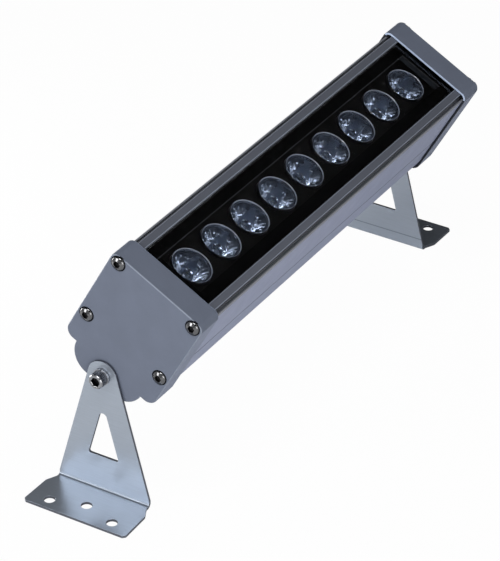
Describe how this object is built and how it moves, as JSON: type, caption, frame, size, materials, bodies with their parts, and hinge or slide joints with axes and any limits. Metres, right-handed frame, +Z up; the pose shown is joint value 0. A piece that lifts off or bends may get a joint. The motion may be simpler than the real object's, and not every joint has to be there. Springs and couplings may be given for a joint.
{
  "type": "outdoor wall washer light",
  "caption": "Short linear wall washer: an extruded housing with cast end caps and a row of round lenses behind glass, tilting on two bent sheet brackets.",
  "frame": {"origin": "centre of the four outer fixing holes of the two feet, on the underside of the feet", "axes": "+X along the light from the near end cap to the far end cap, which holds the cable gland; +Z up, away from the surface that the feet stand on; the lit face leans towards -Y"},
  "size_m": [0.3556, 0.088, 0.1445],
  "materials": {
    "housing": "satin grey powder coat",
    "end_cap": "satin grey paint over fine cast texture",
    "gasket": "matt",
    "screws": "bright stainless",
    "glass": "clear, polished, with a dark printed border",
    "lens_plate": "satin black",
    "lens": "clear, moulded",
    "lens_holder": "satin black",
    "emitter": "yellow under a clear dome",
    "emitter_board": "white coating",
    "leads": "smooth insulation",
    "driver_board": "satin green coating",
    "ferrite": "matt ferrite with tape",
    "capacitor": "blue sleeve",
    "copper": "enamelled copper wire",
    "terminals": "moulded",
    "gland": "nickel plated",
    "bracket": "satin stainless sheet",
    "pivot_bolt": "stainless, knurled",
    "lock_washer": "spring steel, plain"
  },
  "bodies": {
    "light": {"housing_extrusion": "housing", "near_end_cap": "end_cap", "far_end_cap": "end_cap", "near_cap_gasket": "gasket", "far_cap_gasket": "gasket", "near_cap_screws": "screws", "far_cap_screws": "screws", "front_glass": "glass", "glass_gasket": "gasket", "lens_plate": "lens_plate", "lens_1": "lens", "lens_2": "lens", "lens_3": "lens", "lens_4": "lens", "lens_5": "lens", "lens_6": "lens", "lens_7": "lens", "lens_8": "lens", "lens_9": "lens", "lens_holder_1": "lens_holder", "lens_holder_2": "lens_holder", "lens_holder_3": "lens_holder", "lens_holder_4": "lens_holder", "lens_holder_5": "lens_holder", "lens_holder_6": "lens_holder", "lens_holder_7": "lens_holder", "lens_holder_8": "lens_holder", "lens_holder_9": "lens_holder", "emitter_1": "emitter", "emitter_2": "emitter", "emitter_3": "emitter", "emitter_4": "emitter", "emitter_5": "emitter", "emitter_6": "emitter", "emitter_7": "emitter", "emitter_8": "emitter", "emitter_9": "emitter", "emitter_board": "emitter_board", "emitter_board_screws": "screws", "emitter_leads": "leads", "driver_board": "driver_board", "driver_transformer": "ferrite", "driver_capacitor": "capacitor", "driver_coil": "copper", "driver_input_terminal": "terminals", "driver_output_terminal": "terminals", "gland_body": "gland", "gland_face_seal": "gasket", "gland_cable_seal": "gasket", "gland_nut": "gland", "gland_lock_nut": "gland", "near_pivot_bolt": "pivot_bolt", "far_pivot_bolt": "pivot_bolt", "near_lock_washer": "lock_washer", "far_lock_washer": "lock_washer"},
    "near_stand": {"near_bracket": "bracket"},
    "far_stand": {"far_bracket": "bracket"}
  },
  "joints": [
    {"name": "near_tilt", "type": "hinge", "parent": "light", "child": "near_stand", "pos_m": [-0.14855, 0, 0.0714], "axis": [1, 0, 0], "range_deg": [-61.7, 118.3]},
    {"name": "far_tilt", "type": "hinge", "parent": "light", "child": "far_stand", "pos_m": [0.14855, 0, 0.0714], "axis": [1, 0, 0], "range_deg": [-61.7, 118.3]}
  ]
}
